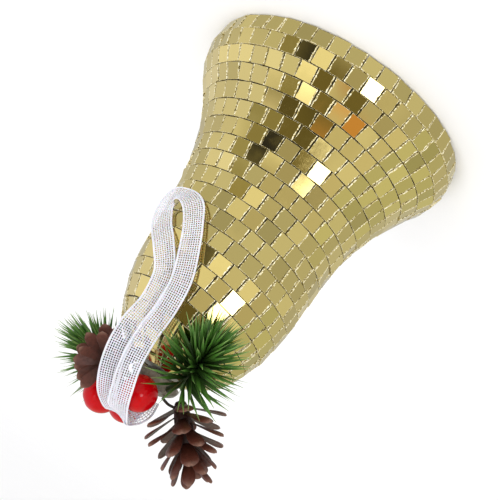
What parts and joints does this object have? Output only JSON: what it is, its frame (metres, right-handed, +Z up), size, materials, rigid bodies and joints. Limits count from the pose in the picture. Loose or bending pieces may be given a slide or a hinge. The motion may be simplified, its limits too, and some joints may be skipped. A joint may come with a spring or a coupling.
{
  "type": "christmas bell ornament",
  "caption": "Hanging bell ornament: hollow flared bell covered in gold mirror tiles, with a clapper and a crown spray of cones, pine, berries and a mesh ribbon loop.",
  "frame": {"origin": "centre of the bell's mouth, on the plane that the rim stands on", "axes": "+Z up the bell's axis to the crown; -Y towards the side the ribbon is draped on; +X to the side of the small cone"},
  "size_m": [0.0814, 0.0814, 0.1185],
  "materials": {
    "gold_mirror": "gold-backed glass mirror tile, cut edges",
    "shell_plastic": "moulded plastic, matt",
    "brass": "bright brass plate",
    "steel": "zinc-plated steel",
    "glue": "set hot-melt glue",
    "cone_plastic": "moulded brown plastic, waxy sheen",
    "pine_plastic": "moulded green plastic needles, paler tips",
    "berry_gloss": "red lacquer",
    "stem_plastic": "dark red plastic over wire",
    "ribbon_mesh": "open woven white mesh with corded edges"
  },
  "bodies": {
    "root": {"bell_shell": "shell_plastic", "tile_row_01": "gold_mirror", "tile_row_02": "gold_mirror", "tile_row_03": "gold_mirror", "tile_row_04": "gold_mirror", "tile_row_05": "gold_mirror", "tile_row_06": "gold_mirror", "tile_row_07": "gold_mirror", "tile_row_08": "gold_mirror", "tile_row_09": "gold_mirror", "tile_row_10": "gold_mirror", "tile_row_11": "gold_mirror", "tile_row_12": "gold_mirror", "tile_row_13": "gold_mirror", "tile_row_14": "gold_mirror", "tile_row_15": "gold_mirror", "tile_row_16": "gold_mirror", "tile_row_17": "gold_mirror", "tile_row_18": "gold_mirror", "tile_row_19": "gold_mirror", "tile_row_20": "gold_mirror", "crown_eye": "brass", "crown_washer": "steel", "crown_nut": "steel", "glue_pad": "glue", "berry_front": "berry_gloss", "berry_stem_front": "stem_plastic", "berry_back": "berry_gloss", "berry_stem_back": "stem_plastic", "berry_right": "berry_gloss", "berry_stem_right": "stem_plastic", "pinecone_large": "cone_plastic", "cone_wire_large": "steel", "pinecone_small": "cone_plastic", "cone_wire_small": "steel", "pine_sprig_front": "pine_plastic", "pine_sprig_side": "pine_plastic", "ribbon_loop": "ribbon_mesh"},
    "jump_ring": {"jump_ring": "brass"},
    "clapper": {"clapper_rod": "brass", "clapper_ball": "brass"}
  },
  "joints": [
    {"name": "ring_swing", "type": "hinge", "parent": "root", "child": "jump_ring", "pos_m": [0, 0, 0.082], "axis": [1, 0, 0], "range_deg": [-13, 13]},
    {"name": "clapper_swing", "type": "hinge", "parent": "jump_ring", "child": "clapper", "pos_m": [0, 0, 0.0776], "axis": [0, 1, 0], "range_deg": [-13, 13]}
  ]
}
